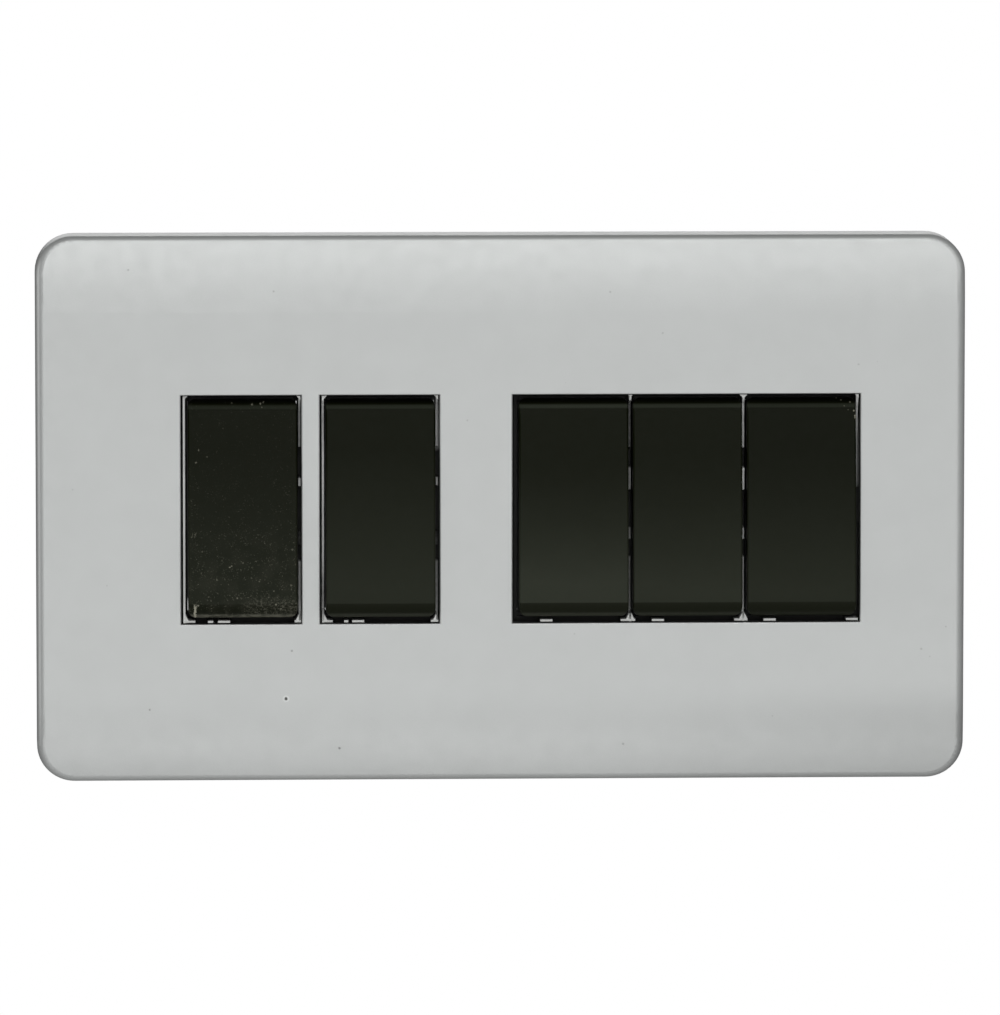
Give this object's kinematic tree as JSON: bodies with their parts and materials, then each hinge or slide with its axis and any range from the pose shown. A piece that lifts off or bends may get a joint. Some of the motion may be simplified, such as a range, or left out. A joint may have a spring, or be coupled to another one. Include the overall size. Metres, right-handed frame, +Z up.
{
  "type": "flush light switch",
  "caption": "Flush rocker light switch on a wide screwless silver-grey wall plate: black rockers with pivots, plungers, rocking contacts and brass terminals in clip-in housings",
  "frame": {"origin": "middle of the two wall fixing slots, on the wall's surface", "axes": "+X to the right seen from the room, along the plate's long side; +Y into the wall; +Z up"},
  "size_m": [0.146, 0.0312, 0.086],
  "materials": {
    "cover": "satin silver-grey painted moulding",
    "frame": "matt light grey polycarbonate",
    "rocker": "satin black moulding",
    "housing": "matt black polycarbonate",
    "nylon": "natural nylon",
    "spring_steel": "drawn spring wire",
    "copper": "pressed copper alloy",
    "brass": "turned and pressed brass",
    "silver": "dull silver contact alloy",
    "screw_steel": "zinc plated, yellowish"
  },
  "bodies": {
    "plate": {"front_cover": "cover", "mounting_frame": "frame", "fixed_contact_tips": "silver", "terminal_screws": "screw_steel", "housing_1": "housing", "common_terminal_1": "brass", "way1_terminal_1": "brass", "way2_terminal_1": "brass", "housing_2": "housing", "common_terminal_2": "brass", "way1_terminal_2": "brass", "way2_terminal_2": "brass", "housing_3": "housing", "common_terminal_3": "brass", "way1_terminal_3": "brass", "way2_terminal_3": "brass", "housing_4": "housing", "common_terminal_4": "brass", "way1_terminal_4": "brass", "way2_terminal_4": "brass", "housing_5": "housing", "common_terminal_5": "brass", "way1_terminal_5": "brass", "way2_terminal_5": "brass"},
    "rocker_1": {"rocker_1": "rocker"},
    "plunger_1": {"plunger_1": "nylon", "spring_1": "spring_steel"},
    "lever_1": {"contact_lever_1": "copper", "lever_tips_1": "silver"},
    "rocker_2": {"rocker_2": "rocker"},
    "plunger_2": {"plunger_2": "nylon", "spring_2": "spring_steel"},
    "lever_2": {"contact_lever_2": "copper", "lever_tips_2": "silver"},
    "rocker_3": {"rocker_3": "rocker"},
    "plunger_3": {"plunger_3": "nylon", "spring_3": "spring_steel"},
    "lever_3": {"contact_lever_3": "copper", "lever_tips_3": "silver"},
    "rocker_4": {"rocker_4": "rocker"},
    "plunger_4": {"plunger_4": "nylon", "spring_4": "spring_steel"},
    "lever_4": {"contact_lever_4": "copper", "lever_tips_4": "silver"},
    "rocker_5": {"rocker_5": "rocker"},
    "plunger_5": {"plunger_5": "nylon", "spring_5": "spring_steel"},
    "lever_5": {"contact_lever_5": "copper", "lever_tips_5": "silver"}
  },
  "joints": [
    {"name": "rocker_1_hinge", "type": "hinge", "parent": "plate", "child": "rocker_1", "pos_m": [-0.04055, -0.0052, 0], "axis": [1, 0, 0], "range_deg": [0, 10]},
    {"name": "lever_1_hinge", "type": "hinge", "parent": "plate", "child": "lever_1", "pos_m": [-0.04055, 0.00849, 0], "axis": [1, 0, 0], "range_deg": [-15, 0]},
    {"name": "plunger_1_slide", "type": "slide", "parent": "rocker_1", "child": "plunger_1", "axis": [0, -0.9962, 0.0872], "range_m": [0, 0.0006], "stiffness_N_per_m": 600, "springref_m": -0.0006, "deforming": ["spring_1"]},
    {"name": "rocker_2_hinge", "type": "hinge", "parent": "plate", "child": "rocker_2", "pos_m": [-0.01894, -0.0052, 0], "axis": [1, 0, 0], "range_deg": [0, 10]},
    {"name": "lever_2_hinge", "type": "hinge", "parent": "plate", "child": "lever_2", "pos_m": [-0.01894, 0.00849, 0], "axis": [1, 0, 0], "range_deg": [-15, 0]},
    {"name": "plunger_2_slide", "type": "slide", "parent": "rocker_2", "child": "plunger_2", "axis": [0, -0.9962, 0.0872], "range_m": [0, 0.0006], "stiffness_N_per_m": 600, "springref_m": -0.0006, "deforming": ["spring_2"]},
    {"name": "rocker_3_hinge", "type": "hinge", "parent": "plate", "child": "rocker_3", "pos_m": [0.01135, -0.0052, 0], "axis": [1, 0, 0], "range_deg": [0, 10]},
    {"name": "lever_3_hinge", "type": "hinge", "parent": "plate", "child": "lever_3", "pos_m": [0.01135, 0.00849, 0], "axis": [1, 0, 0], "range_deg": [-15, 0]},
    {"name": "plunger_3_slide", "type": "slide", "parent": "rocker_3", "child": "plunger_3", "axis": [0, -0.9962, 0.0872], "range_m": [0, 0.0006], "stiffness_N_per_m": 600, "springref_m": -0.0006, "deforming": ["spring_3"]},
    {"name": "rocker_4_hinge", "type": "hinge", "parent": "plate", "child": "rocker_4", "pos_m": [0.02925, -0.0052, 0], "axis": [1, 0, 0], "range_deg": [0, 10]},
    {"name": "lever_4_hinge", "type": "hinge", "parent": "plate", "child": "lever_4", "pos_m": [0.02925, 0.00849, 0], "axis": [1, 0, 0], "range_deg": [-15, 0]},
    {"name": "plunger_4_slide", "type": "slide", "parent": "rocker_4", "child": "plunger_4", "axis": [0, -0.9962, 0.0872], "range_m": [0, 0.0006], "stiffness_N_per_m": 600, "springref_m": -0.0006, "deforming": ["spring_4"]},
    {"name": "rocker_5_hinge", "type": "hinge", "parent": "plate", "child": "rocker_5", "pos_m": [0.04715, -0.0052, 0], "axis": [1, 0, 0], "range_deg": [0, 10]},
    {"name": "lever_5_hinge", "type": "hinge", "parent": "plate", "child": "lever_5", "pos_m": [0.04715, 0.00849, 0], "axis": [1, 0, 0], "range_deg": [-15, 0]},
    {"name": "plunger_5_slide", "type": "slide", "parent": "rocker_5", "child": "plunger_5", "axis": [0, -0.9962, 0.0872], "range_m": [0, 0.0006], "stiffness_N_per_m": 600, "springref_m": -0.0006, "deforming": ["spring_5"]}
  ],
  "couplings": [
    {"joint": "lever_1_hinge", "follows": "rocker_1_hinge", "ratio": -1.5},
    {"joint": "lever_2_hinge", "follows": "rocker_2_hinge", "ratio": -1.5},
    {"joint": "lever_3_hinge", "follows": "rocker_3_hinge", "ratio": -1.5},
    {"joint": "lever_4_hinge", "follows": "rocker_4_hinge", "ratio": -1.5},
    {"joint": "lever_5_hinge", "follows": "rocker_5_hinge", "ratio": -1.5}
  ]
}
